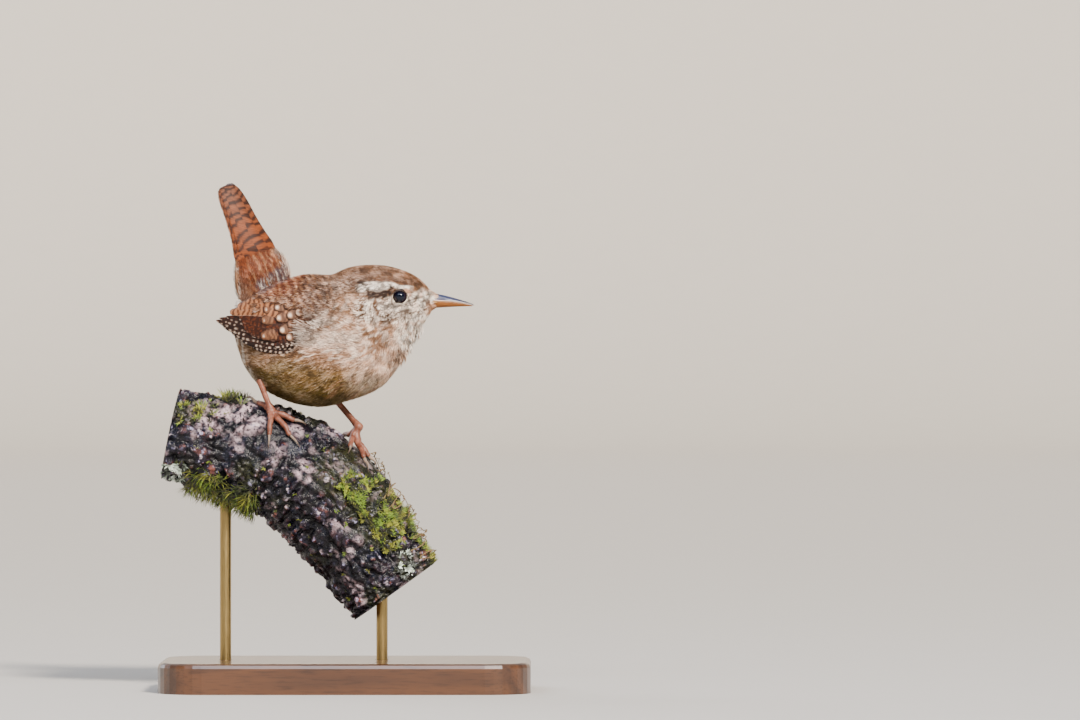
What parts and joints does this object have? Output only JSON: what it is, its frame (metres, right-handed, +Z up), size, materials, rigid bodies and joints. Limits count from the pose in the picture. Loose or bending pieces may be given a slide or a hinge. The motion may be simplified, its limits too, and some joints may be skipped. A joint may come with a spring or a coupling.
{
  "type": "wren model",
  "caption": "Still life-size model of a wren perched on a short cut branch with its tail cocked, held by two rods on a flat display base.",
  "frame": {"origin": "middle of the base's underside, on the floor", "axes": "+X the way the bird and its bill face, -Y the bird's right side, +Z up"},
  "size_m": [0.098, 0.06, 0.1345],
  "materials": {
    "plumage": "matt brown and buff feathers",
    "flight_feathers": "smooth rufous feathers with dark bars",
    "bill_upper": "dark slate horn with a soft shine",
    "bill_lower": "orange-yellow horn",
    "eye": "wet black-brown eye",
    "leg_skin": "pinkish scaled skin",
    "claw": "pale horn",
    "bark": "rough wet black bark with moss and pale crusts",
    "stand_wood": "dark satin varnish",
    "stand_metal": "satin brass rod"
  },
  "bodies": {
    "root": {"bill_lower": "bill_lower", "bill_upper": "bill_upper", "claw_left_hind": "claw", "claw_left_inner": "claw", "claw_left_middle": "claw", "claw_left_outer": "claw", "claw_right_hind": "claw", "claw_right_inner": "claw", "claw_right_middle": "claw", "claw_right_outer": "claw", "eye_left": "eye", "eye_right": "eye", "foot_left": "leg_skin", "foot_right": "leg_skin", "head": "plumage", "neck": "plumage", "perch": "bark", "shank_left": "leg_skin", "shank_right": "leg_skin", "stand_base": "stand_wood", "stand_rod_front": "stand_metal", "stand_rod_rear": "stand_metal", "tail": "flight_feathers", "thigh_left": "plumage", "thigh_right": "plumage", "trunk": "plumage", "wing_left": "flight_feathers", "wing_right": "flight_feathers"}
  },
  "joints": []
}
